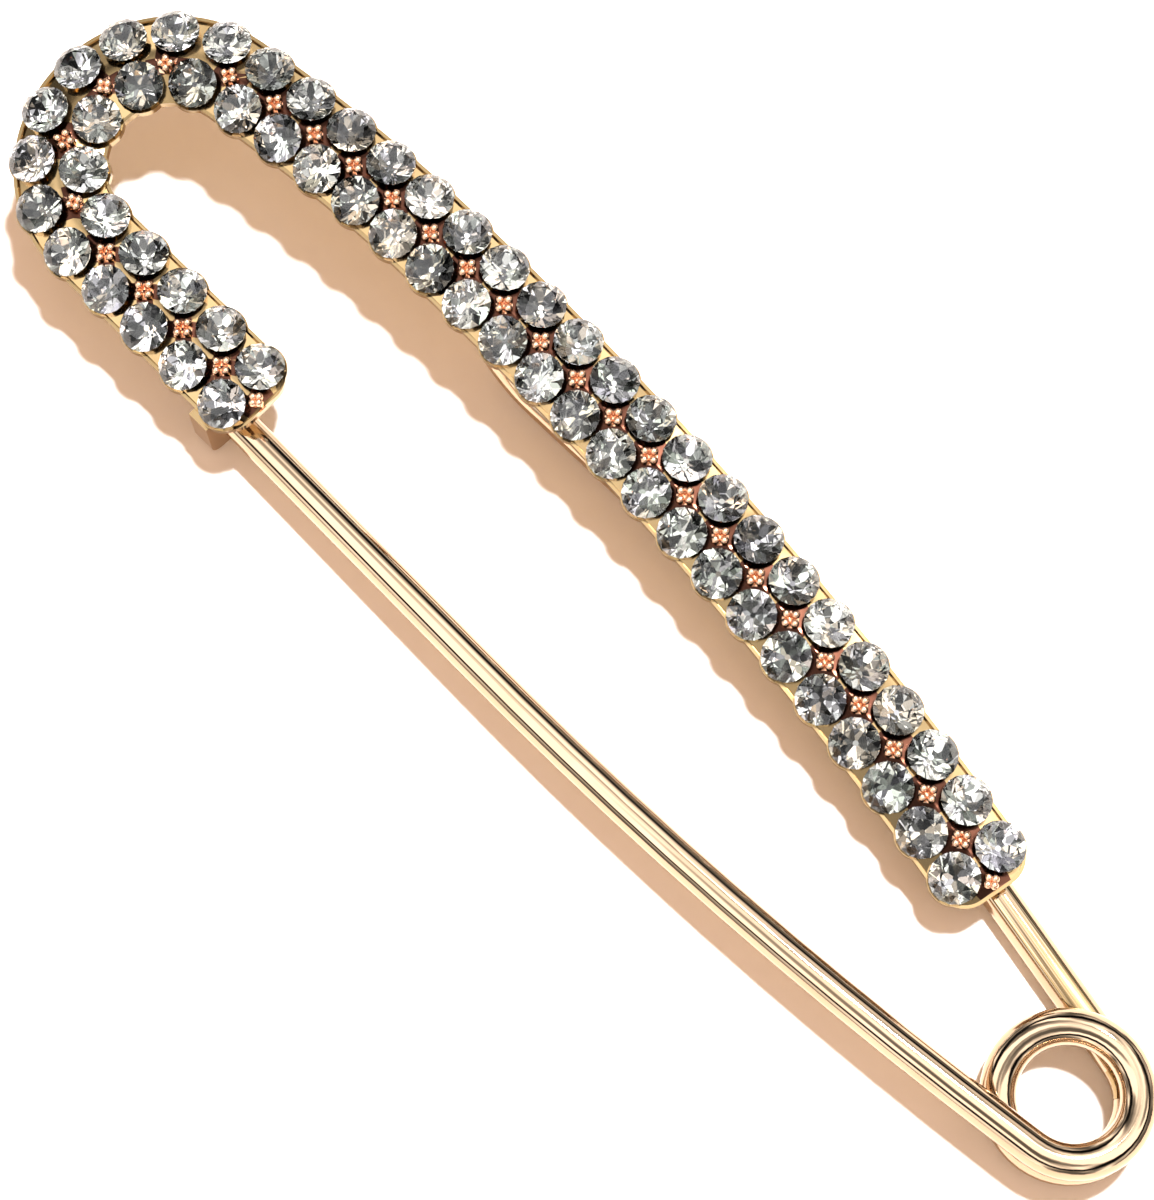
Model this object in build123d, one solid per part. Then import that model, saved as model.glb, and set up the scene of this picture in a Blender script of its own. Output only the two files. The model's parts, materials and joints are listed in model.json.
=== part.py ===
from build123d import *
import math
import os

# Safety pin brooch lying on its back. Millimetres, +Z up, +X from the hook towards the coil,
# +Y from the pin towards the long arm of the tray, with the coil's axis at X = Y = 0 and the
# ground at Z = 0 while it is built. The tray and its stones are laid out flat in a frame of
# their own, with the girdles of the stones at Z = 0, and then pitched and rolled over the wire.

# Wire and coil
WIRE_R = 0.95
COIL_R = 3.4                 # centreline radius of the coil
TURN_GAP = 0.10              # clearance between the two turns of the coil
COIL_CUT_DEG = 45.0          # the turning part of the coil ends here, on its lower turn
COIL_CUT_GAP = 0.03

# Pin arm
PIN_EXIT_DEG = 7.0           # its angle to X where it leaves the coil
PIN_DROP_DEG = 0.9           # its fall from the coil down to the catch
PIN_DROP_R = 60.0
PIN_BOW_R = 250.0            # gentle outward bow
PIN_BOW_DEG = 8.6
PIN_STRAIGHT = 21.5
TAPER_LENGTH = 7.5
TIP_R = 0.16

# Fixed arm and the back wire that it runs into under the long arm
FIXED_ARM_DEG = 12.0         # its angle to X
FIXED_ARM_RUN = 12.7
BACK_CURVE_R = 100.0
BACK_RUN = 13.8
BACK_RISE_R = 4.0
BACK_RISE_DEG = 60.0
BACK_RISE_RUN = 3.4
SOLDER_X = -13.2             # pad that joins the wire to the tray above it
SOLDER_Y = 6.2
SOLDER_LENGTH = 3.6
SOLDER_WIDTH = 1.5
SOLDER_TOP = 3.4

# Tray centreline: short leg, hook, shoulder and long arm, each tangent to the next
LEG_END_X = -55.7
HOOK_CENTRE_X = -69.8
HOOK_CENTRE_Y = 2.3
HOOK_R = 6.05
SHOULDER_DEG = 9.0           # heading where the hook runs into the shoulder
SHOULDER_R = 97.4
ARM_DEG = 11.2               # heading at the end of the long arm
ARM_R = 236.4

# Tray section: a ridged floor in a thin raised rim, with a round lobe outside each stone
TRAY_HALF_WIDTH = 2.6
TRAY_BOTTOM = -1.50
RIM_T = 0.18
RIM_TOP = -0.55
BOTTOM_CHAMFER = 0.45
CORNER_R = 1.65
LOBE_R = 1.42                # about the middle of the stone
LOBE_FLAT = 1.03             # from there to the straight back of the lobe, inside the rim
END_LOBE_FLAT = 0.55
LOBE_FOOT = -1.0
ROW_TILT_DEG = 12.0          # each row leans outwards, and so does the floor under it
FLOOR_DEPTH = 0.55           # floor below the girdle of a stone
FUSE_TOP = -1.2              # soldered parts end this deep inside the tray, below the seats

# Attitude of the tray over the wire
PITCH_DEG = 2.86             # it rises from the coil towards the hook
ROLL_DEG = 7.0               # and from the leg towards the long arm
GIRDLE_Z = 2.5               # height of its own origin

# Stones: round brilliants with a small flat culet
STONE_R = 1.375
TABLE_R = 0.76
STAR_R = 1.05
CROWN_H = 0.50
GIRDLE_H = 0.08
PAVILION_H = 1.0
LOWER_R = 0.62
CULET_R = 0.16
SEAT_GAP = 0.07
SEAT_TURN_DEG = 33.0
STONE_TURN_DEG = 17.0        # from each stone to the next, about its own axis

# Rows of stones
ROW_OFFSET = 1.45
LEG_PAIRS = 5
LEG_PITCH = 3.1
HOOK_OUTER_STEPS = 8
HOOK_INNER_STEPS = 5
ARM_PAIRS = 21
ARM_FIRST_X = -69.22
END_INSET = 1.85             # from the last pair of the long arm to the end of the tray

# Grains: four small beads, along and across, in the space between four stones
GRAIN_TOP = 0.15
GRAIN_ROOT = -0.8
GRAIN_CLEARANCE = 0.10       # between the grains and the stones round them
GRAIN_R_SHARE = 0.395        # bead radius and bead offset, as shares of the free radius
GRAIN_OFFSET_SHARE = 0.60
GRAIN_TAPER = 0.6            # width of a bead's top to its foot
END_GRAIN_INSET = 1.2        # from an end pair's middle to the grains beyond it

# Catch: a strip bent under the pin, with a ramp that the pin slides off when it is let go
CATCH_X = -58.0
CATCH_WIDTH = 1.4
CATCH_WALL = 0.85
CATCH_GAP = 0.08
CATCH_ROUND = 0.7
CATCH_TOP = 4.4
RELEASE_DEG = 35.0           # direction in which the pin leaves the catch, below level

UPPER_Z = 3 * WIRE_R + TURN_GAP


def polar(radius, degrees):
    """Point on a circle round the origin."""
    angle = math.radians(degrees)
    return radius * math.cos(angle), radius * math.sin(angle)


class WirePath:
    """Route of a wire: straight runs and arcs, each tangent to the one before."""

    def __init__(self, start, heading):
        self.at = Vector(*start)
        self.heading = Vector(*heading).normalized()
        self.edges = []

    def run(self, length):
        """Go straight on."""
        end = self.at + self.heading * length
        self.edges.append(Edge.make_line(self.at, end))
        self.at = end

    def bend(self, radius, degrees, towards):
        """Turn through an arc whose centre lies towards the given direction."""
        side = Vector(*towards)
        side = (side - self.heading * side.dot(self.heading)).normalized()
        centre = self.at + side * radius

        def point(angle):
            return centre - side * (radius * math.cos(angle)) + self.heading * (radius * math.sin(angle))

        turn = math.radians(degrees)
        end = point(turn)
        self.edges.append(Edge.make_three_point_arc(self.at, point(turn / 2), end))
        self.heading = self.heading * math.cos(turn) + side * math.sin(turn)
        self.at = end

    def tube(self, radius):
        """Round wire along the whole route."""
        path = Wire(self.edges)
        start = Plane(origin=path @ 0, z_dir=path % 0)
        return Solid.sweep(Face(Wire.make_circle(radius, start)), path)


class Track:
    """Centreline of the tray, walked by arc length from the end of the short leg."""

    def __init__(self):
        leg = HOOK_CENTRE_X - LEG_END_X
        hook = HOOK_R * math.radians(180 - SHOULDER_DEG)
        shoulder = SHOULDER_R * math.radians(SHOULDER_DEG)
        arm = ARM_R * math.radians(ARM_DEG)
        self.ends = (-leg, hook - leg, hook + shoulder - leg, hook + shoulder + arm - leg)
        x, y = self.on_hook(math.radians(180 - SHOULDER_DEG), 0.0)
        rise = math.radians(SHOULDER_DEG)
        self.crest_x = x + SHOULDER_R * math.sin(rise)
        self.crest_y = y + SHOULDER_R * (1 - math.cos(rise))

    def on_hook(self, turned, offset):
        """Point of the hook after turning through an angle."""
        angle = math.pi * 1.5 - turned
        radius = HOOK_R + offset
        return HOOK_CENTRE_X + radius * math.cos(angle), HOOK_CENTRE_Y + radius * math.sin(angle)

    def over_crest(self, heading, bend_r, offset):
        """Point of the shoulder or arm that heads up by this angle."""
        radius = bend_r + offset
        return (self.crest_x - radius * math.sin(heading),
                self.crest_y - bend_r + radius * math.cos(heading))

    def point(self, s, offset=0.0):
        """Position at arc length s; the offset is positive on the outer side."""
        leg, hook, shoulder, _ = self.ends
        if s <= leg:
            return LEG_END_X - s, HOOK_CENTRE_Y - HOOK_R - offset
        if s <= hook:
            return self.on_hook((s - leg) / HOOK_R, offset)
        if s <= shoulder:
            return self.over_crest((shoulder - s) / SHOULDER_R, SHOULDER_R, offset)
        return self.over_crest((shoulder - s) / ARM_R, ARM_R, offset)

    def station(self, x):
        """Arc length of the point of the shoulder or arm at this X."""
        low, high = self.ends[1], self.ends[3]
        while high - low > 1e-4:
            middle = (low + high) / 2
            if self.point(middle)[0] < x:
                low = middle
            else:
                high = middle
        return low

    def even_stations(self, start, end, steps, offset):
        """Stations that share out the length of an offset line in equal steps."""
        samples = [start + (end - start) * i / 400 for i in range(401)]
        walked = [0.0]
        for a, b in zip(samples, samples[1:]):
            walked.append(walked[-1] + math.dist(self.point(a, offset), self.point(b, offset)))
        found = []
        for k in range(1, steps):
            goal = walked[-1] * k / steps
            found.append(samples[next(i for i, length in enumerate(walked) if length >= goal)])
        return found

    def lane(self, offset, inset=0.0):
        """Edges that run beside the centreline, from the leg's end to the arm's end."""
        spans = list(zip((inset,) + self.ends[:3], self.ends[:3] + (self.ends[3] - inset,)))
        start, end = spans[0]
        edges = [Edge.make_line(self.point(start, offset), self.point(end, offset))]
        for start, end in spans[1:]:
            near = start + 1e-9
            middle = (start + end) / 2
            edges.append(Edge.make_three_point_arc(
                self.point(near, offset), self.point(middle, offset), self.point(end, offset)))
        return edges

    def frame(self, s, offset=0.0):
        """Plane on the tray at a station: X along the track, Y outwards, Z up."""
        x, y = self.point(s, offset)
        out_x, out_y = self.point(s, offset + 1.0)
        return Plane(origin=(x, y, 0), x_dir=(out_y - y, x - out_x, 0), z_dir=(0, 0, 1))


TRACK = Track()


def plate_plane():
    """Frame of the tray as it stands over the wire."""
    pitch = math.tan(math.radians(PITCH_DEG))
    roll = math.tan(math.radians(ROLL_DEG))
    return Plane(origin=(0, 0, GIRDLE_Z), x_dir=(1, 0, -pitch), z_dir=(pitch, -roll, 1))


def stations():
    """Arc lengths of the outer and of the inner row of stones."""
    leg = [TRACK.ends[0] - LEG_PITCH * i for i in reversed(range(LEG_PAIRS))]
    arm_start = TRACK.station(ARM_FIRST_X)
    arm_step = (TRACK.ends[3] - END_INSET - arm_start) / (ARM_PAIRS - 1)
    arm = [arm_start + arm_step * i for i in range(ARM_PAIRS)]
    outer = TRACK.even_stations(leg[-1], arm_start, HOOK_OUTER_STEPS, ROW_OFFSET)
    inner = TRACK.even_stations(leg[-1], arm_start, HOOK_INNER_STEPS, -ROW_OFFSET)
    return leg, outer, inner, arm


def stone_places():
    """Locations of the stones of the outer and of the inner row, girdle centre and axis."""
    leg, outer, inner, arm = stations()

    def row(row_stations, side):
        lean = Rot(X=-side * ROW_TILT_DEG)
        return [TRACK.frame(s, side * ROW_OFFSET).location * lean for s in row_stations]

    return row(leg + outer + arm, 1), row(leg + inner + arm, -1)


def brilliant():
    """Round brilliant: table, stars, kites, girdle, mains and a small flat culet."""
    step = math.pi / 4
    table_z = GIRDLE_H / 2 + CROWN_H
    crown_slope = CROWN_H / (STONE_R - TABLE_R)
    culet_reach = CULET_R * math.cos(step / 2)
    pavilion_slope = PAVILION_H / (STONE_R - culet_reach)

    def ring(radius, z, half=0.0):
        return [(radius * math.cos(step * (i + half)), radius * math.sin(step * (i + half)), z)
                for i in range(8)]

    def on_kites(radius):
        return table_z - crown_slope * (radius * math.cos(step / 2) - TABLE_R)

    def on_mains(radius):
        return -GIRDLE_H / 2 - pavilion_slope * (STONE_R - radius * math.cos(step / 2))

    table = ring(TABLE_R, table_z)
    star = ring(STAR_R, on_kites(STAR_R), 0.5)
    top, top_half = ring(STONE_R, GIRDLE_H / 2), ring(STONE_R, GIRDLE_H / 2, 0.5)
    low, low_half = ring(STONE_R, -GIRDLE_H / 2), ring(STONE_R, -GIRDLE_H / 2, 0.5)
    lower = ring(LOWER_R, on_mains(LOWER_R), 0.5)
    culet = ring(CULET_R, on_mains(CULET_R), 0.5)
    facets = [table, culet]
    for i in range(8):
        j = (i + 1) % 8
        facets += [[table[i], table[j], star[i]],
                   [table[i], star[i], top[i], star[i - 1]],
                   [star[i], top[i], top_half[i]],
                   [star[i], top_half[i], top[j]],
                   [top[i], top_half[i], low_half[i], low[i]],
                   [top_half[i], top[j], low[j], low_half[i]],
                   [low[i], low_half[i], lower[i]],
                   [low_half[i], low[j], lower[i]],
                   [low[i], lower[i], culet[i], culet[i - 1], lower[i - 1]]]
    return Solid(Shell([Face(Wire.make_polygon(facet)) for facet in facets]))


def stone_row(places):
    """Loose stones at these places, each turned about its own axis by a different angle."""
    plate, gem = plate_plane(), brilliant()
    return Compound([plate.location * place * Rot(Z=i * STONE_TURN_DEG) * gem
                     for i, place in enumerate(places)])


def seat():
    """Cut for one stone, a little larger than its pavilion."""
    slope = (STONE_R - CULET_R) / PAVILION_H
    foot = -GIRDLE_H / 2 - PAVILION_H - SEAT_GAP
    top_r = STONE_R + SEAT_GAP * 2
    foot_r = CULET_R + SEAT_GAP / 2
    return Solid.make_cone(foot_r, top_r, (top_r - foot_r) / slope, Plane(origin=(0, 0, foot)))


def with_seats(body, places):
    """Body with a seat cut at every place; a seat that is left uncut is turned and cut again."""
    middle = Pos(0, 0, -PAVILION_H)
    tool = seat()
    left, turn = places, 0.0
    while left:
        body = body.cut(*[place * Rot(Z=turn) * tool for place in left])
        left = [place for place in left if body.is_inside((place * middle).position)]
        turn += SEAT_TURN_DEG
    return body


def tray_outline(inset=0.0):
    """Plan of the tray, with rounded corners at both ends, drawn in by an inset all round."""
    half = TRAY_HALF_WIDTH - inset
    outer, inner = TRACK.lane(half, inset), TRACK.lane(-half, inset)
    ends = [(outer[0] @ 0, inner[0] @ 0), (outer[-1] @ 1, inner[-1] @ 1)]
    edges = outer + inner + [Edge.make_line(a, b) for a, b in ends]
    face = Face(Wire.combine(edges, tol=1e-4)[0])
    corners = [corner for pair in ends for corner in pair]
    chosen = [v for v in face.vertices()
              if min((Vector(v.X, v.Y, 0) - corner).length for corner in corners) < 1e-3]
    return face.fillet_2d(CORNER_R - inset, chosen)


def tray_body():
    """Tray with its rim, its ridged floor and chamfered underside."""
    fall = math.tan(math.radians(ROW_TILT_DEG))
    ridge = ROW_OFFSET * fall - FLOOR_DEPTH
    half = TRAY_HALF_WIDTH + 0.2
    floor_edge = ridge - half * fall
    outer = tray_outline()
    inner = tray_outline(RIM_T)
    block = Pos(0, 0, TRAY_BOTTOM) * extrude(outer, ridge - TRAY_BOTTOM, dir=(0, 0, 1))
    block = chamfer(block.faces().sort_by(Axis.Z)[0].edges(), BOTTOM_CHAMFER)
    start = TRACK.frame(0.0)
    roof = Plane(origin=start.origin, x_dir=start.y_dir, z_dir=start.x_dir)
    section = roof * Polygon((-half, floor_edge), (half, floor_edge), (0, ridge), align=None)
    wedge = Solid.sweep(section.face(), Wire(TRACK.lane(0.0)))
    cavity = Pos(0, 0, floor_edge) * extrude(inner, 1 - floor_edge, dir=(0, 0, 1))
    above_rim = Pos(0, 0, RIM_TOP) * (extrude(outer, 1, dir=(0, 0, 1)) - extrude(inner, 1, dir=(0, 0, 1)))
    return block - (cavity - wedge) - above_rim


def edge_lobe(s, side, flat):
    """Segment of a disc that stands out from the tray's edge beside a stone."""
    half = math.sqrt(LOBE_R ** 2 - flat ** 2)
    arc = Edge.make_three_point_arc((-half, flat), (0, LOBE_R), (half, flat))
    back = Edge.make_line((half, flat), (-half, flat))
    lobe = Pos(0, 0, LOBE_FOOT) * extrude(Face(Wire([arc, back])), RIM_TOP - LOBE_FOOT, dir=(0, 0, 1))
    facing = Rot(Z=90 - 90 * side)
    return TRACK.frame(s, side * ROW_OFFSET).location * facing * lobe


def edge_lobes():
    """Lobes beside all the stones; those of the end pairs reach back to the rounded corners."""
    leg, outer, inner, arm = stations()
    ends = (leg[0], arm[-1])
    lobes = []
    for side, hook in ((1, outer), (-1, inner)):
        for s in leg + hook + arm:
            lobes.append(edge_lobe(s, side, END_LOBE_FLAT if s in ends else LOBE_FLAT))
    return lobes


def free_radius(place, centres):
    """How far a place on the tray is from the nearest stone."""
    return min((place.position - centre).length for centre in centres) - STONE_R - GRAIN_CLEARANCE


def roomiest(s, centres):
    """Place near a station that is furthest from all the stones, and its free radius."""
    steps = [i * 0.05 for i in range(-12, 13)]
    places = [TRACK.frame(s + along, across).location for along in steps for across in steps]
    return max(((free_radius(place, centres), i) for i, place in enumerate(places))), places


def grain_clusters(centres):
    """Four small beads in every space between four stones and at both ends of the tray."""
    leg, _, inner, arm = stations()
    row = leg + inner + arm
    middles = [(a + b) / 2 for a, b in zip(row, row[1:])]
    beads = []
    for s in middles:
        (free, i), places = roomiest(s, centres)
        beads += cluster(places[i], free)
    for s in (leg[0] - END_GRAIN_INSET, arm[-1] + END_GRAIN_INSET):
        place = TRACK.frame(s).location
        beads += cluster(place, free_radius(place, centres))
    return beads


def cluster(place, free):
    """Four beads within a free radius."""
    radius, shift = free * GRAIN_R_SHARE, free * GRAIN_OFFSET_SHARE
    foot = Plane(origin=(0, 0, GRAIN_ROOT))
    bead = Solid.make_cylinder(radius, -GRAIN_ROOT, foot)
    bead += Solid.make_cone(radius, radius * GRAIN_TAPER, GRAIN_TOP)
    return [place * Rot(Z=turn) * Pos(shift, 0, 0) * bead for turn in (0, 90, 180, 270)]


def pin_wire():
    """Pin arm, and the coil as far as its cut."""
    x, y = polar(COIL_R, PIN_EXIT_DEG - 90)
    heading = Vector(*polar(1, PIN_EXIT_DEG))
    arm = WirePath((x, y, UPPER_Z), heading * -1)
    arm.bend(PIN_DROP_R, PIN_DROP_DEG, (0, 0, -1))
    arm.bend(PIN_BOW_R, PIN_BOW_DEG, (0, 1, 0))
    arm.run(PIN_STRAIGHT)
    cone = Solid.make_cone(WIRE_R, TIP_R, TAPER_LENGTH, Plane(origin=arm.at, z_dir=arm.heading))
    coil = WirePath((x, y, UPPER_Z), heading)
    coil.bend(COIL_R, 180 - PIN_EXIT_DEG, (-x, -y, 0))
    coil.bend(math.hypot(2 * COIL_R, UPPER_Z - WIRE_R) / 2, 180,
              (0, -2 * COIL_R, WIRE_R - UPPER_Z))
    cut_gap_deg = math.degrees(COIL_CUT_GAP / COIL_R)
    coil.bend(COIL_R, 90 + COIL_CUT_DEG - cut_gap_deg, (0, 1, 0))
    return arm.tube(WIRE_R) + cone + coil.tube(WIRE_R)


def fixed_wire():
    """Last bit of the coil, fixed arm and back wire, which turns up into the tray."""
    x, y = polar(COIL_R, COIL_CUT_DEG)
    route = WirePath((x, y, WIRE_R), (-y, x, 0))
    route.bend(COIL_R, 90 - FIXED_ARM_DEG - COIL_CUT_DEG, (-x, -y, 0))
    route.run(FIXED_ARM_RUN)
    route.bend(BACK_CURVE_R, FIXED_ARM_DEG, (0, -1, 0))
    route.run(BACK_RUN)
    route.bend(BACK_RISE_R, BACK_RISE_DEG, (0, 0, 1))
    route.run(BACK_RISE_RUN)
    return route.tube(WIRE_R)


def pin_at_catch():
    """Height and Y of the pin's axis at the catch."""
    cut = pin_wire() & Pos(CATCH_X, 0, 0) * Box(0.2, 40, 40)
    middle = cut.center()
    return middle.Y, middle.Z


def catch(pin_y, pin_z):
    """Strip that comes down beside the pin and under it, ramped along the pin's way out."""
    inner_y = pin_y - WIRE_R - CATCH_GAP
    outer_y = inner_y - CATCH_WALL
    slope = math.radians(RELEASE_DEG)
    clear = WIRE_R + CATCH_GAP
    touch_y = pin_y - clear * math.sin(slope)
    touch_z = pin_z - clear * math.cos(slope)
    lip_y = touch_y + touch_z / math.tan(slope)
    corner_z = pin_z - clear * math.tan((math.pi / 2 - slope) / 2)
    section = Polygon((outer_y, 0), (lip_y, 0), (touch_y, touch_z), (inner_y, corner_z),
                      (inner_y, CATCH_TOP), (outer_y, CATCH_TOP), align=None)
    strip = extrude(Plane.YZ * section, CATCH_WIDTH / 2, both=True)
    strip = Pos(CATCH_X, 0, 0) * strip
    low_edges = strip.edges().filter_by(Axis.X).group_by(Axis.Z)[0].sort_by(Axis.Y)
    return fillet(low_edges[0], CATCH_ROUND)


def solder_pad():
    """Pad between the fixed arm and the end of the tray above it."""
    height = SOLDER_TOP - WIRE_R
    pad = Pos(SOLDER_X, SOLDER_Y, WIRE_R + height / 2) * Rot(Z=-FIXED_ARM_DEG)
    return pad * Box(SOLDER_LENGTH, SOLDER_WIDTH, height)


def stone_tray(places):
    """All the soldered metal as one solid, with a seat cut for every stone."""
    plate = plate_plane()
    above = plate.location * Pos(-30, 0, FUSE_TOP + 5) * Box(200, 60, 10)
    under = (fixed_wire() + solder_pad() + catch(*pin_at_catch())) - above
    tray = with_seats(tray_body().fuse(*edge_lobes()), places)
    tray = tray.fuse(*grain_clusters([place.position for place in places]))
    return (plate.location * tray).fuse(under)


def main():
    os.makedirs("parts", exist_ok=True)
    outer, inner = stone_places()
    nodes = {
        "stone_tray": stone_tray(outer + inner),
        "pin_wire": pin_wire(),
        "outer_row_stones": stone_row(outer),
        "inner_row_stones": stone_row(inner),
    }
    box = Compound(list(nodes.values())).bounding_box()
    home = Pos(-box.center().X, -box.center().Y, -box.min.Z)
    print("moved by", home.position, "size", box.size)
    for name, shape in nodes.items():
        placed = home * shape
        print(name, len(placed.solids()), round(placed.volume, 1), placed.is_valid)
        export_step(placed, f"parts/{name}.step")


if __name__ == "__main__":
    main()
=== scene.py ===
"""Looks of a safety pin brooch: a hook-shaped tray of clear stones over a coiled pin."""

import json
import logging
import math
import random
from dataclasses import dataclass
from enum import Enum

import bmesh
import bpy
from mathutils import Matrix, Vector
from mathutils.kdtree import KDTree

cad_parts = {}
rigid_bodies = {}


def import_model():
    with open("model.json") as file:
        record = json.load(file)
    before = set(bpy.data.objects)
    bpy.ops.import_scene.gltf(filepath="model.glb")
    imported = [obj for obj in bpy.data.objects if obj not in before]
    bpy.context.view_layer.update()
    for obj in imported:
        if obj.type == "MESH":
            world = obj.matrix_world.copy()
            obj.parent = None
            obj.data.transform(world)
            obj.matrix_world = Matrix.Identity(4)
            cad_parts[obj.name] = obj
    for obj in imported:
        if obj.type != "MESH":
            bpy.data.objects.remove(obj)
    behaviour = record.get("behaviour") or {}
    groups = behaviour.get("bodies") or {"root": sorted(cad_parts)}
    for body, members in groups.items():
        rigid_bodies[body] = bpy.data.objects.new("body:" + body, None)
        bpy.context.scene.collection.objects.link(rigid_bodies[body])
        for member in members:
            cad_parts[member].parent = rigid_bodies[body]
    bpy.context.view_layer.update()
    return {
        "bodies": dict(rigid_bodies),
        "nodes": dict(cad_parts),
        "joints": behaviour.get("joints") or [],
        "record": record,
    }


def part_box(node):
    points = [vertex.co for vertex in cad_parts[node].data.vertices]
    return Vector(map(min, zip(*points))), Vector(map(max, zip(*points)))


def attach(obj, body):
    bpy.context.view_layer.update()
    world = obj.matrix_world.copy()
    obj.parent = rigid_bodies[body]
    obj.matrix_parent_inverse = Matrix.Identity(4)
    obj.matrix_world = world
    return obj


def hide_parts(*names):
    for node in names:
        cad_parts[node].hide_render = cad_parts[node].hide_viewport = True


LOG = logging.getLogger("brooch")
MM = 0.001
MERGE = 0.0005 * MM
# Name of the per-facet painted reflection and shade tones on the stones' foil.
FACET_PAINTED_LIGHT = "facet_painted_light"
Colour = tuple[float, float, float, float]
Triple = tuple[float, float, float]
Pair = tuple[float, float]


class Body(Enum):
    """Rigid bodies of the brooch."""

    FRAME = "frame"
    PIN = "pin"


class Node(Enum):
    """Solids that come with the frame."""

    TRAY = "stone_tray"
    PIN = "pin_wire"
    OUTER = "outer_row_stones"
    INNER = "inner_row_stones"


class Slot(Enum):
    """Material slots of the record."""

    TRAY = "tray_metal"
    WIRE = "wire_metal"
    STONE = "clear_stone"


class StoneFinish(Enum):
    """Places of a stone row's finishes on its mesh."""

    CRYSTAL = 0
    FOIL = 1


class TrayFinish(Enum):
    """Places of the tray's finishes on its mesh."""

    GOLD = 0
    COPPER = 1
    # Painted shade: dark copper-brown faces around the grain posts, where the hollows fall in
    # shade.
    PAINTED_SHADE = 2
    WIRE = 3


def new_material(name: str) -> tuple[bpy.types.Material, bpy.types.ShaderNode]:
    """Makes an empty node material.

    Args:
        name: Name of the material.

    Returns:
        The material and its Principled shader.
    """
    material = bpy.data.materials.new(name)
    material.use_nodes = True
    return material, material.node_tree.nodes["Principled BSDF"]


def new_group(name: str, inputs: dict[str, float], outputs: tuple[str, ...]) -> bpy.types.NodeTree:
    """Makes a shader node group with named number sockets.

    Args:
        name: Name of the group.
        inputs: Names and defaults of its inputs.
        outputs: Names of its outputs.

    Returns:
        The group, with its input and output nodes in place.
    """
    kind = "NodeSocketFloat"
    group = bpy.data.node_groups.new(name, "ShaderNodeTree")
    for label, value in inputs.items():
        socket = group.interface.new_socket(label, in_out="INPUT", socket_type=kind)
        socket.default_value = value
    for label in outputs:
        group.interface.new_socket(label, in_out="OUTPUT", socket_type=kind)
    group.nodes.new("NodeGroupInput").name = "In"
    group.nodes.new("NodeGroupOutput").name = "Out"
    return group


@dataclass(frozen=True)
class Handling:
    """Soft smears and fine hairlines that handling leaves on plate and crystal."""

    name: str = "handling"
    smear_size: float = 260.0
    smear_detail: float = 3.0
    smear_span: Pair = (0.35, 0.65)
    hairline_size: float = 2600.0
    hairline_stretch: Triple = (0.08, 1.0, 1.0)
    roughness: Pair = (0.06, 0.2)

    def group(self) -> bpy.types.NodeTree:
        """Makes the group of the marks, or finds it where it is already made.

        Returns:
            A group that puts out a smear mask, a roughness and a hairline height.
        """
        existing = bpy.data.node_groups.get(self.name)
        if existing:
            return existing
        low, high = self.roughness
        group = new_group(self.name,
                          {"Smear Size": self.smear_size, "Low Roughness": low,
                           "High Roughness": high, "Hairline Size": self.hairline_size},
                          ("Smear", "Roughness", "Height"))
        nodes, links = group.nodes, group.links
        source, sink = nodes["In"], nodes["Out"]
        place = nodes.new("ShaderNodeTexCoord")
        smear = nodes.new("ShaderNodeTexNoise")
        smear.inputs["Detail"].default_value = self.smear_detail
        spread = nodes.new("ShaderNodeMapRange")
        spread.inputs["From Min"].default_value = self.smear_span[0]
        spread.inputs["From Max"].default_value = self.smear_span[1]
        stretch = nodes.new("ShaderNodeMapping")
        stretch.inputs["Scale"].default_value = self.hairline_stretch
        hairline = nodes.new("ShaderNodeTexNoise")
        links.new(place.outputs["Object"], smear.inputs["Vector"])
        links.new(source.outputs["Smear Size"], smear.inputs["Scale"])
        links.new(smear.outputs["Fac"], spread.inputs["Value"])
        links.new(source.outputs["Low Roughness"], spread.inputs["To Min"])
        links.new(source.outputs["High Roughness"], spread.inputs["To Max"])
        links.new(place.outputs["Object"], stretch.inputs["Vector"])
        links.new(stretch.outputs["Vector"], hairline.inputs["Vector"])
        links.new(source.outputs["Hairline Size"], hairline.inputs["Scale"])
        links.new(smear.outputs["Fac"], sink.inputs["Smear"])
        links.new(spread.outputs["Result"], sink.inputs["Roughness"])
        links.new(hairline.outputs["Fac"], sink.inputs["Height"])
        return group

    def mark(self, material: bpy.types.Material, shader: bpy.types.ShaderNode,
             tones: tuple[Colour, Colour], roughness: Pair) -> bpy.types.ShaderNode:
        """Lets the smears shift a shader's colour and roughness.

        Args:
            material: The material.
            shader: Its shader.
            tones: Its colours where it is clean and where it is smeared.
            roughness: Its least and greatest roughness.

        Returns:
            The node that puts out the marks.
        """
        nodes, links = material.node_tree.nodes, material.node_tree.links
        marks = nodes.new("ShaderNodeGroup")
        marks.node_tree = self.group()
        for label, value in zip(("Low Roughness", "High Roughness"), roughness):
            marks.inputs[label].default_value = value
        tone = nodes.new("ShaderNodeMix")
        tone.data_type = "RGBA"
        for label, colour in zip(("A", "B"), tones):
            tone.inputs[label].default_value = colour
        links.new(marks.outputs["Smear"], tone.inputs["Factor"])
        links.new(tone.outputs["Result"], shader.inputs["Base Color"])
        links.new(marks.outputs["Roughness"], shader.inputs["Roughness"])
        return marks


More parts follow.
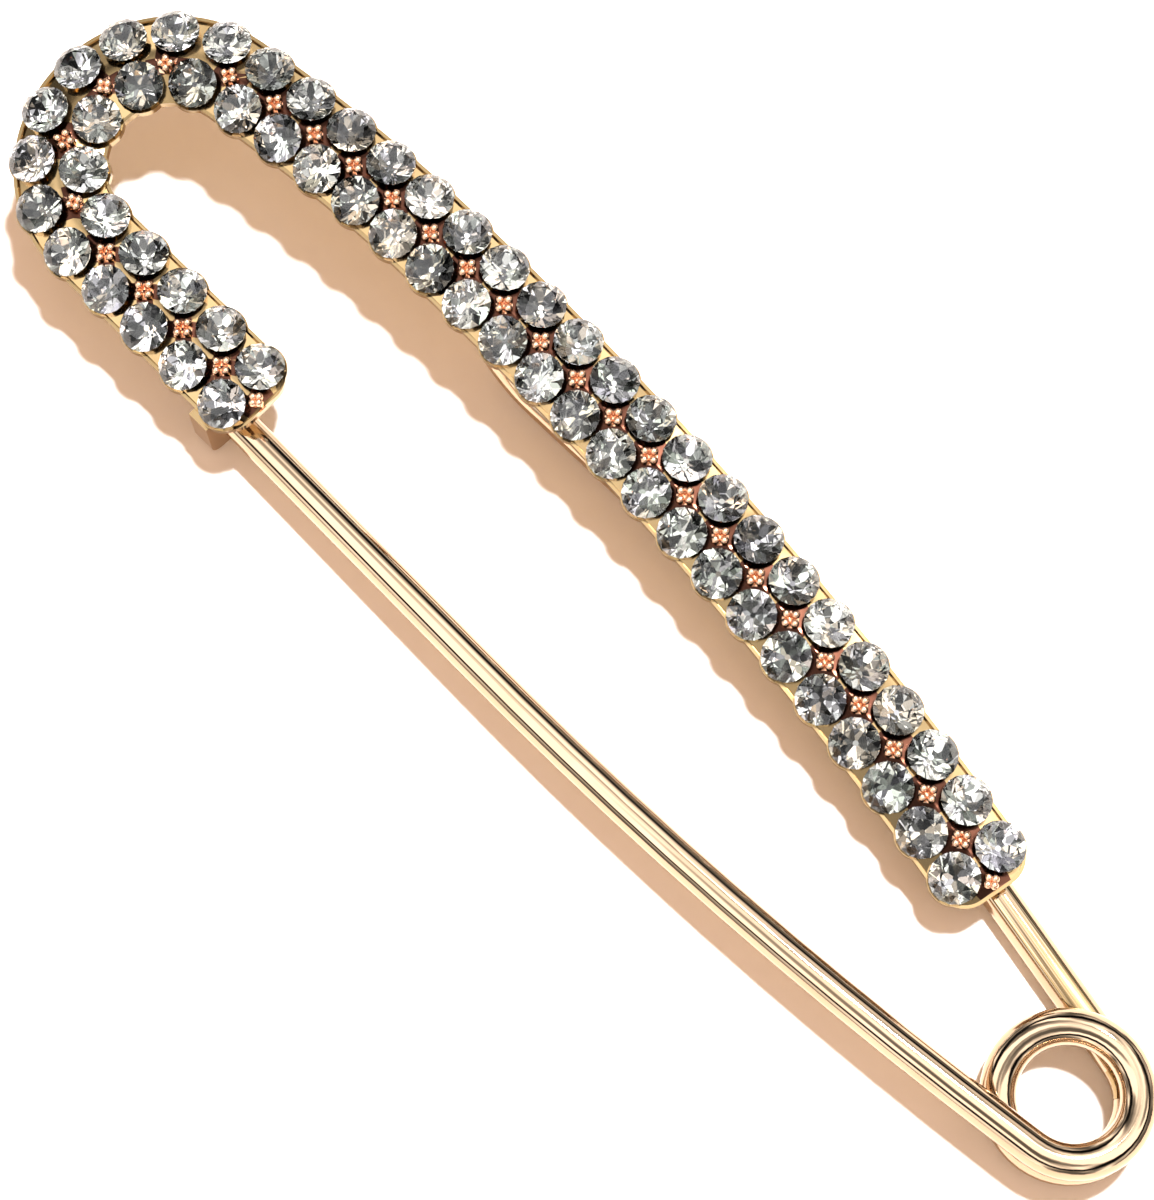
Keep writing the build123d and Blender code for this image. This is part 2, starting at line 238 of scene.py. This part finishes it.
@dataclass(frozen=True)
class PolishedPlate:
    """Polished plate with faint smears and hairlines."""

    name: str
    pale: Colour
    deep: Colour
    roughness: Pair = (0.05, 0.16)
    hairline: float = 0.02
    hairline_depth: float = 0.02

    def material(self) -> bpy.types.Material:
        """Builds the material.

        Returns:
            The plated metal.
        """
        material, shader = new_material(self.name)
        nodes, links = material.node_tree.nodes, material.node_tree.links
        marks = Handling().mark(material, shader, (self.pale, self.deep), self.roughness)
        bump = nodes.new("ShaderNodeBump")
        bump.inputs["Strength"].default_value = self.hairline
        bump.inputs["Distance"].default_value = self.hairline_depth * MM
        links.new(marks.outputs["Height"], bump.inputs["Height"])
        links.new(bump.outputs["Normal"], shader.inputs["Normal"])
        shader.inputs["Metallic"].default_value = 1.0
        return material


GOLD_PLATE = PolishedPlate(
    "tray_plate", pale=(0.42, 0.30, 0.155, 1.0), deep=(0.28, 0.18, 0.08, 1.0),
    roughness=(0.08, 0.2))
WIRE_PLATE = PolishedPlate(
    "wire_plate", pale=(0.58, 0.43, 0.30, 1.0), deep=(0.45, 0.31, 0.19, 1.0),
    roughness=(0.03, 0.10))
COPPER_PLATE = PolishedPlate(
    "grain_copper", pale=(0.95, 0.64, 0.45, 1.0), deep=(0.75, 0.40, 0.24, 1.0))
# Painted shade: a dark copper-brown plate that stands in for the shade in the hollows around the
# grain posts.
RECESS_SHADE_PLATE = PolishedPlate(
    "painted_recess_shade", pale=(0.08, 0.032, 0.02, 1.0), deep=(0.03, 0.012, 0.008, 1.0),
    roughness=(0.1, 0.25))


@dataclass(frozen=True)
class Crystal:
    """Clear cut crystal with faint wipe marks."""

    name: str = "crystal"
    clear: Colour = (0.995, 0.99, 0.975, 1.0)
    cool: Colour = (0.975, 0.98, 0.975, 1.0)
    ior: float = 1.5
    roughness: Pair = (0.0, 0.02)

    def material(self) -> bpy.types.Material:
        """Builds the material.

        Returns:
            The clear crystal.
        """
        material, shader = new_material(self.name)
        Handling().mark(material, shader, (self.clear, self.cool), self.roughness)
        shader.inputs["Transmission Weight"].default_value = 1.0
        shader.inputs["IOR"].default_value = self.ior
        return material


@dataclass(frozen=True)
class Foil:
    """Silver foil behind a stone, with a painted tone on every facet that stands in for the bright
    and dark reflections the facets show.
    """

    name: str = "stone_foil"
    roughness: float = 0.03

    def material(self) -> bpy.types.Material:
        """Builds the material.

        Returns:
            The foil.
        """
        material, shader = new_material(self.name)
        nodes, links = material.node_tree.nodes, material.node_tree.links
        # The foil's colour comes from the painted per-facet light and shade tones.
        tone = nodes.new("ShaderNodeAttribute")
        tone.attribute_name = FACET_PAINTED_LIGHT
        links.new(tone.outputs["Color"], shader.inputs["Base Color"])
        shader.inputs["Metallic"].default_value = 1.0
        shader.inputs["Roughness"].default_value = self.roughness
        return material


@dataclass(frozen=True)
class PaintedFacetLight:
    """Shares and tones of the painted dark, middling and bright facets, which stand in for the
    light and shade that each facet reflects.
    """

    dark_share: float = 0.20
    middle_share: float = 0.25
    dark: Pair = (0.02, 0.10)
    middle: Pair = (0.16, 0.42)
    bright: Pair = (0.50, 1.0)
    tints: tuple[Triple, ...] = (
        (1.0, 0.99, 0.95), (1.0, 0.98, 0.93), (0.96, 1.0, 0.93), (0.97, 0.95, 1.0),
        (1.0, 0.88, 0.74))

    def draw(self, chance: random.Random) -> Colour:
        """Draws the painted tone of one facet, a stand-in for its reflected light or shade.

        Args:
            chance: Source of the random numbers.

        Returns:
            The facet's colour.
        """
        kind = chance.random()
        if kind < self.dark_share:
            level = chance.uniform(*self.dark)
        elif kind < self.dark_share + self.middle_share:
            level = chance.uniform(*self.middle)
        else:
            level = chance.uniform(*self.bright)
        red, green, blue = (level * part for part in chance.choice(self.tints))
        return red, green, blue, 1.0


def merged_copy(frame: dict, node: Node) -> bmesh.types.BMesh:
    """Copies a solid of the frame and joins its loose triangles.

    Args:
        frame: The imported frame.
        node: The solid.

    Returns:
        The joined copy.
    """
    shape = bmesh.new()
    shape.from_mesh(frame["nodes"][node.value].data)
    bmesh.ops.remove_doubles(shape, verts=shape.verts, dist=MERGE)
    return shape


def smooth_curves(shape: bmesh.types.BMesh, crease: float = math.radians(28)) -> None:
    """Smooths a shape but for its creases.

    Args:
        shape: The shape.
        crease: Least angle of a crease, in radians.
    """
    shape.normal_update()
    for face in shape.faces:
        face.smooth = True
    for edge in shape.edges:
        edge.smooth = edge.calc_face_angle(0.0) < crease


def add_piece(name: str, shape: bmesh.types.BMesh, finishes: list[bpy.types.Material],
              body: Body) -> bpy.types.Object:
    """Turns a finished bmesh into a piece that rides on a body.

    Args:
        name: Name of the piece.
        shape: The bmesh, which is freed.
        finishes: Materials of the piece, in the order of its finishes.
        body: Body that it rides on.

    Returns:
        The piece.
    """
    mesh = bpy.data.meshes.new(name)
    shape.to_mesh(mesh)
    shape.free()
    for finish in finishes:
        mesh.materials.append(finish)
    piece = bpy.data.objects.new(name, mesh)
    bpy.context.scene.collection.objects.link(piece)
    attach(piece, body.value)
    return piece


@dataclass
class StoneRow:
    """One row of cut stones, clear in front and foiled behind."""

    node: Node
    crystal: bpy.types.Material
    foil: bpy.types.Material
    seed: int
    # Painted light and shade for the foil's facets.
    tones: PaintedFacetLight = PaintedFacetLight()
    flat: float = math.radians(0.6)
    foil_faces_down: float = -0.35

    def finish(self, face: bmesh.types.BMFace) -> StoneFinish:
        """Chooses the finish of a facet by the way it faces."""
        return StoneFinish.FOIL if face.normal.z < self.foil_faces_down else StoneFinish.CRYSTAL

    def build(self, frame: dict) -> bpy.types.Object:
        """Builds the row from its solids.

        Args:
            frame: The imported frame.

        Returns:
            The row, which stands for its node.
        """
        shape = merged_copy(frame, self.node)
        bmesh.ops.dissolve_limit(shape, angle_limit=self.flat,
                                 verts=shape.verts, edges=shape.edges)
        layer = shape.loops.layers.float_color.new(FACET_PAINTED_LIGHT)
        chance = random.Random(self.seed)
        for face in shape.faces:
            face.normal_update()
            face.smooth = False
            face.material_index = self.finish(face).value
            # Each facet gets a random painted tone, which stands in for the bright or dark
            # reflection it shows.
            tone = self.tones.draw(chance)
            for loop in face.loops:
                loop[layer] = tone
        row = add_piece(self.node.value + "_cut", shape, [self.crystal, self.foil],
                        Body.FRAME)
        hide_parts(self.node.value)
        return row


@dataclass(frozen=True)
class Attitude:
    """How the flat plane of the stones' girdles stands over the coil."""

    coil: Vector
    pitch: float = math.tan(math.radians(2.86))
    roll: float = math.tan(math.radians(7.0))
    girdle_height: float = 2.5

    def height(self, point: Vector) -> float:
        """Finds the height of a point over the girdle plane.

        Args:
            point: The point, in metres.

        Returns:
            Its height along the plane's normal, in metres.
        """
        place = point - self.coil
        plane = self.girdle_height * MM - self.pitch * place.x + self.roll * place.y
        return (place.z - plane) * self.normal().z

    def normal(self) -> Vector:
        """Direction that the tray faces."""
        return Vector((self.pitch, -self.roll, 1.0)).normalized()


def coil_middle(coil_reach: float = 4.35) -> Vector:
    """Finds the middle of the coil on the table.

    Args:
        coil_reach: The coil's outer radius in millimetres.

    Returns:
        The point, in metres.
    """
    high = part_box(Node.PIN.value)[1]
    return Vector((high[0] - coil_reach * MM, high[1] - coil_reach * MM, 0.0))


@dataclass
class GrainBeads:
    """Small round beads on the tray's grain posts, with lengths in millimetres."""

    plate: bpy.types.Material
    attitude: Attitude
    post_top: float = 0.15
    top_slack: float = 0.02
    facing: float = 0.98
    radius: float = 0.25
    sink: float = 0.12
    meridians: int = 12
    parallels: int = 8

    def is_top(self, face: bmesh.types.BMFace) -> bool:
        """Tells whether a face lies on a post's top.

        Args:
            face: A face of the tray.

        Returns:
            True where it faces with the tray, at the height of the posts' tops.
        """
        if face.normal.dot(self.attitude.normal()) < self.facing:
            return False
        rise = self.attitude.height(face.calc_center_median())
        return abs(rise - self.post_top * MM) < self.top_slack * MM

    def tops(self, shape: bmesh.types.BMesh) -> list[Vector]:
        """Finds the middle of every grain post's top.

        Args:
            shape: The tray's solid, joined.

        Returns:
            One point for each post.
        """
        left = {face for face in shape.faces if self.is_top(face)}
        middles = []
        while left:
            wave = [left.pop()]
            corners = set(wave[0].verts)
            while wave:
                near = {f for corner in wave.pop().verts for f in corner.link_faces} & left
                left -= near
                wave.extend(near)
                corners.update(corner for face in near for corner in face.verts)
            places = sorted((corner.co for corner in corners), key=tuple)
            middles.append(sum(places, Vector()) / len(places))
        return sorted(middles, key=tuple)

    def build(self, tops: list[Vector]) -> bpy.types.Object:
        """Builds all the beads as one piece.

        Args:
            tops: The middles of the posts' tops.

        Returns:
            The beads.
        """
        shape = bmesh.new()
        down = self.attitude.normal() * -self.sink * MM
        for top in tops:
            place = Matrix.Translation(top + down)
            bmesh.ops.create_uvsphere(shape, u_segments=self.meridians, v_segments=self.parallels,
                                      radius=self.radius * MM, matrix=place)
        for face in shape.faces:
            face.smooth = True
        LOG.info("%d grain posts", len(tops))
        return add_piece("grain_beads", shape, [self.plate], Body.FRAME)


@dataclass
class PlatedTray:
    """Soldered metal of the frame: gold plate, copper grains, painted shade in the hollows around
    the grains and the wire below.

    Lengths are in millimetres, and heights are over the plane of the stones' girdles.
    """

    gold: bpy.types.Material
    copper: bpy.types.Material
    painted_shade: bpy.types.Material
    wire: bpy.types.Material
    attitude: Attitude
    wire_top: float = -1.52
    post_radius: float = 0.31
    post_depth: float = 0.75
    # Reach and depth of the painted shade around each post, in millimetres.
    painted_shade_radius: float = 0.8
    painted_shade_depth: float = 0.62
    far_away: float = 1.6
    cluster_reach: float = 3.4
    inner_posts: int = 10

    def finish(self, middle: Vector, posts: KDTree) -> TrayFinish:
        """Chooses the finish of a face.

        Args:
            middle: The face's middle.
            posts: The middles of the posts' tops.

        Returns:
            The finish.
        """
        if self.attitude.height(middle) < self.wire_top * MM:
            return TrayFinish.WIRE
        top, _, apart = posts.find(middle)
        if apart > self.far_away * MM:
            return TrayFinish.GOLD
        away = middle - top
        rise = away.dot(self.attitude.normal())
        across = (away - self.attitude.normal() * rise).length
        if across < self.post_radius * MM and rise > -self.post_depth * MM:
            return TrayFinish.COPPER
        # Within this reach of a post, faces near its top or inside a dense cluster get the painted
        # shade of the hollows; the rest stay gold.
        if across > self.painted_shade_radius * MM:
            return TrayFinish.GOLD
        inside = len(posts.find_range(top, self.cluster_reach * MM)) > self.inner_posts
        if inside or rise > -self.painted_shade_depth * MM:
            return TrayFinish.PAINTED_SHADE
        return TrayFinish.GOLD

    def build(self, frame: dict) -> tuple[bpy.types.Object, bpy.types.Object]:
        """Builds the tray and the beads on its posts.

        Args:
            frame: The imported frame.

        Returns:
            The tray, which stands for its node, and the beads.
        """
        shape = merged_copy(frame, Node.TRAY)
        smooth_curves(shape)
        grains = GrainBeads(self.copper, self.attitude)
        tops = grains.tops(shape)
        posts = KDTree(len(tops))
        for index, top in enumerate(tops):
            posts.insert(top, index)
        posts.balance()
        for face in shape.faces:
            face.material_index = self.finish(face.calc_center_median(), posts).value
        finishes = [self.gold, self.copper, self.painted_shade, self.wire]
        tray = add_piece("plated_tray", shape, finishes, Body.FRAME)
        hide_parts(Node.TRAY.value)
        return tray, grains.build(tops)


@dataclass
class PlatedPin:
    """Pin arm and coil, with their curves smoothed."""

    plate: bpy.types.Material

    def build(self, frame: dict) -> bpy.types.Object:
        """Builds the pin.

        Args:
            frame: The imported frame.

        Returns:
            The pin, which stands for its node.
        """
        shape = merged_copy(frame, Node.PIN)
        smooth_curves(shape)
        pin = add_piece("plated_pin", shape, [self.plate], Body.PIN)
        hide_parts(Node.PIN.value)
        return pin


@dataclass
class Studio:
    """White table, hard key light, patchy room to mirror and the camera.

    Lengths are in millimetres, and the camera's points are taken from the coil's middle.
    """

    coil: Vector
    camera_at: Triple = (-3.28, -32.0, 142.25)
    aim: Triple = (-36.94, 1.64, 0.0)
    image_up: Triple = (-0.7071, 0.7071, 0.0)
    lens: float = 85.63
    sensor: float = 36.0
    clip: Pair = (1.0, 5000.0)
    key_towards: Triple = (-0.04, 0.31, 1.0)
    key_distance: float = 620.0
    key_size: float = 55.0
    key_power: float = 9.0
    key_colour: Triple = (1.0, 0.99, 0.97)
    table_half: float = 1500.0
    table_colour: Colour = (0.93, 0.93, 0.93, 1.0)
    table_roughness: float = 0.6
    shade_colour: Colour = (0.68, 0.39, 0.22, 1.0)
    shade_strength: float = 1.15
    patch_size: float = 1.9
    patch_seed: float = 3.7
    patch_detail: float = 1.0
    patch_strength: float = 3.0
    patch_tones: tuple[Pair, ...] = ((0.41, 0.08), (0.49, 0.32), (0.57, 1.0))
    ring_wobble: float = 0.4
    ring_tones: tuple[Pair, ...] = ((0.49, 0.9), (0.54, 0.01), (0.68, 0.01), (0.75, 1.0))
    new_stop: float = 0.5

    def camera(self) -> None:
        """Places the camera."""
        data = bpy.data.cameras.new("camera")
        data.sensor_fit = "HORIZONTAL"
        data.sensor_width = self.sensor
        data.lens = self.lens
        data.clip_start, data.clip_end = self.clip[0] * MM, self.clip[1] * MM
        camera = bpy.data.objects.new("camera", data)
        at, aim = Vector(self.camera_at) * MM + self.coil, Vector(self.aim) * MM + self.coil
        back = (at - aim).normalized()
        right = Vector(self.image_up).cross(back).normalized()
        up = back.cross(right)
        turn = Matrix((right, up, back)).transposed()
        camera.matrix_world = Matrix.Translation(at) @ turn.to_4x4()
        bpy.context.scene.collection.objects.link(camera)
        bpy.context.scene.camera = camera

    def key(self) -> None:
        """Adds the key light, a small square lamp that shines at the frame's middle."""
        data = bpy.data.lights.new("key", "AREA")
        data.shape = "RECTANGLE"
        data.size = data.size_y = self.key_size * MM
        data.energy = self.key_power
        data.color = self.key_colour
        lamp = bpy.data.objects.new("key", data)
        direction = Vector(self.key_towards).normalized()
        lamp.location = direction * self.key_distance * MM
        lamp.rotation_mode = "QUATERNION"
        lamp.rotation_quaternion = direction.to_track_quat("Z", "Y")
        bpy.context.scene.collection.objects.link(lamp)

    def ramp(self, nodes: bpy.types.Nodes, tones: tuple[Pair, ...]) -> bpy.types.Node:
        """Adds a ramp of grey tones.

        Args:
            nodes: Nodes that it joins.
            tones: Position and brightness of each stop.

        Returns:
            The ramp.
        """
        ramp = nodes.new("ShaderNodeValToRGB")
        stops = ramp.color_ramp.elements
        while len(stops) < len(tones):
            stops.new(self.new_stop)
        for stop, (position, tone) in zip(stops, tones):
            stop.position, stop.color = position, (tone, tone, tone, 1.0)
        return ramp

    def room(self, world: bpy.types.World) -> bpy.types.NodeSocket:
        """Makes the room that gloss mirrors: noisy patches under a wavy dark ring.

        Args:
            world: World that it joins.

        Returns:
            The room's colour.
        """
        nodes, links = world.node_tree.nodes, world.node_tree.links
        way = nodes.new("ShaderNodeTexCoord")
        patches = nodes.new("ShaderNodeTexNoise")
        patches.noise_dimensions = "4D"
        patches.inputs["Scale"].default_value = self.patch_size
        patches.inputs["W"].default_value = self.patch_seed
        patches.inputs["Detail"].default_value = self.patch_detail
        cloth = self.ramp(nodes, self.patch_tones)
        parts = nodes.new("ShaderNodeSeparateXYZ")
        wobble, level = nodes.new("ShaderNodeMath"), nodes.new("ShaderNodeMath")
        wobble.operation, level.operation = "MULTIPLY", "MULTIPLY_ADD"
        wobble.inputs[1].default_value = self.ring_wobble
        level.inputs[1].default_value = 1.0 - self.ring_wobble / 2
        ring = self.ramp(nodes, self.ring_tones)
        room = nodes.new("ShaderNodeMix")
        room.data_type, room.blend_type = "RGBA", "MULTIPLY"
        room.inputs["Factor"].default_value = 1.0
        links.new(way.outputs["Generated"], patches.inputs["Vector"])
        links.new(way.outputs["Generated"], parts.inputs["Vector"])
        links.new(patches.outputs["Fac"], cloth.inputs["Fac"])
        links.new(patches.outputs["Fac"], wobble.inputs[0])
        links.new(parts.outputs["Z"], level.inputs[0])
        links.new(wobble.outputs["Value"], level.inputs[2])
        links.new(level.outputs["Value"], ring.inputs["Fac"])
        links.new(ring.outputs["Color"], room.inputs["A"])
        links.new(cloth.outputs["Color"], room.inputs["B"])
        return room.outputs["Result"]

    def surroundings(self) -> None:
        """Fills the shade warmly, gives gloss a room to mirror and the camera a plain backdrop."""
        world = bpy.data.worlds.new("surroundings")
        world.use_nodes = True
        nodes, links = world.node_tree.nodes, world.node_tree.links
        mirrored = nodes["Background"]
        mirrored.inputs["Strength"].default_value = self.patch_strength
        shade = nodes.new("ShaderNodeBackground")
        shade.inputs["Color"].default_value = self.shade_colour
        shade.inputs["Strength"].default_value = self.shade_strength
        backdrop = nodes.new("ShaderNodeBackground")
        backdrop.inputs["Color"].default_value = self.table_colour
        kind = nodes.new("ShaderNodeLightPath")
        lit, seen = nodes.new("ShaderNodeMixShader"), nodes.new("ShaderNodeMixShader")
        links.new(self.room(world), mirrored.inputs["Color"])
        links.new(kind.outputs["Is Diffuse Ray"], lit.inputs["Fac"])
        links.new(mirrored.outputs["Background"], lit.inputs[1])
        links.new(shade.outputs["Background"], lit.inputs[2])
        links.new(kind.outputs["Is Camera Ray"], seen.inputs["Fac"])
        links.new(lit.outputs["Shader"], seen.inputs[1])
        links.new(backdrop.outputs["Background"], seen.inputs[2])
        links.new(seen.outputs["Shader"], nodes["World Output"].inputs["Surface"])
        bpy.context.scene.world = world

    def lights(self) -> None:
        """Adds the key light and the surroundings, and keeps white paper white."""
        self.key()
        self.surroundings()
        bpy.context.scene.view_settings.view_transform = "Standard"

    def table(self) -> bpy.types.Object:
        """Makes the white table.

        Returns:
            The table, which isn't part of the brooch.
        """
        shape = bmesh.new()
        bmesh.ops.create_grid(shape, x_segments=1, y_segments=1, size=self.table_half * MM)
        mesh = bpy.data.meshes.new("table")
        shape.to_mesh(mesh)
        shape.free()
        material, shader = new_material("white_table")
        shader.inputs["Base Color"].default_value = self.table_colour
        shader.inputs["Roughness"].default_value = self.table_roughness
        mesh.materials.append(material)
        table = bpy.data.objects.new("table", mesh)
        bpy.context.scene.collection.objects.link(table)
        return table


def main() -> None:
    """Builds the whole scene and reports each piece."""
    logging.basicConfig(level=logging.INFO, format="%(name)s: %(message)s")
    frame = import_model()
    coil = coil_middle()
    studio = Studio(coil)
    studio.camera()
    studio.lights()
    LOG.info("placed %s", studio.table().name)
    wire_plate = WIRE_PLATE.material()
    tray = PlatedTray(GOLD_PLATE.material(), COPPER_PLATE.material(), RECESS_SHADE_PLATE.material(),
                      wire_plate, Attitude(coil))
    for piece in tray.build(frame):
        LOG.info("set %s", piece.name)
    LOG.info("set %s", PlatedPin(wire_plate).build(frame).name)
    crystal, foil = Crystal().material(), Foil().material()
    for seed, node in enumerate((Node.OUTER, Node.INNER)):
        LOG.info("cut %s", StoneRow(node, crystal, foil, seed).build(frame).name)


if __name__ == "__main__":
    main()
